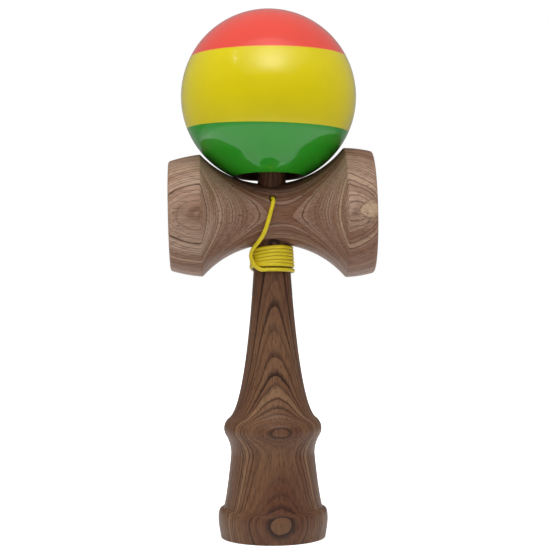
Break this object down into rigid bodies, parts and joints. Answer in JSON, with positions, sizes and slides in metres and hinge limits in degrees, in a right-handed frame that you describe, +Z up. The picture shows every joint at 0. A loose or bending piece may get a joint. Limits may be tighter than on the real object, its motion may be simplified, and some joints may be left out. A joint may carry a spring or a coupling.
{
  "type": "kendama",
  "caption": "Wooden kendama: turned handle with spike and base cup, cross piece with a big and a small cup, and a lacquered ball with a hole, tied on by a string.",
  "frame": {"origin": "on the table, under the middle of the box, which is the handle's axis", "axes": "+Z up along the handle towards the ball, +X towards the big cup, -Y towards the viewer and the string hole"},
  "size_m": [0.0704, 0.0617, 0.1824],
  "materials": {
    "dark_wood": "satin oiled",
    "grey_wood": "satin oiled",
    "lacquer": "gloss lacquer in three bands",
    "string": "braided",
    "bead_wood": "smooth"
  },
  "bodies": {
    "ken": {"ken": "dark_wood", "sarado": "grey_wood", "string_lead": "string", "string_winding": "string", "string_riser": "string", "ken_knot": "string"},
    "string_end": {"string_bead": "bead_wood", "bead_knot": "string"},
    "tama": {"tama": "lacquer"}
  },
  "joints": [
    {"name": "tama_lift", "type": "slide", "parent": "ken", "child": "string_end", "axis": [0, 0, 1], "range_m": [0, 0.045], "deforming": ["string_riser"]},
    {"name": "tama_spin", "type": "hinge", "parent": "string_end", "child": "tama", "pos_m": [-0.00096, 0, 0.15138], "axis": [0, 0.0872, 0.9962], "continuous": true}
  ]
}
